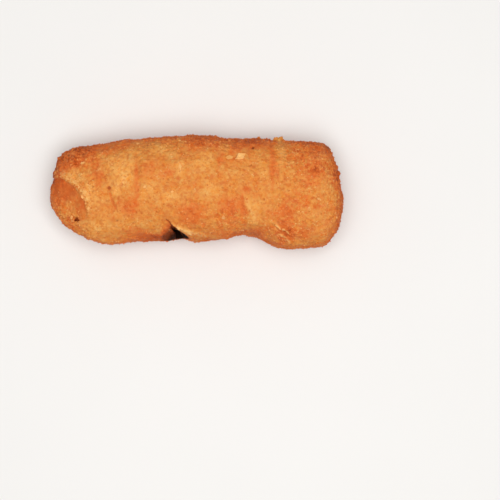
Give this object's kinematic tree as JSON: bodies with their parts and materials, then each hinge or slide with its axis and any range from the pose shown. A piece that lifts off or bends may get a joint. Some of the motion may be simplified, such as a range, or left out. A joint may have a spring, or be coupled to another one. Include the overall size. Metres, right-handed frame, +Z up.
{
  "type": "fried spring roll",
  "caption": "Fried spring roll with a crumbed golden crust, one tapered and one blunt tucked end, a slanting wrapper flap and a split in its front.",
  "frame": {"origin": "under the middle of the roll, on the surface that it rests on", "axes": "+X along the roll, from its tapered end to its blunt end; +Y to its back; +Z up"},
  "size_m": [0.1118, 0.0436, 0.0342],
  "materials": {
    "fried_crust": "crumbed, deep fried to a golden brown, with a thin film of oil"
  },
  "bodies": {
    "root": {"spring_roll": "fried_crust"}
  },
  "joints": []
}
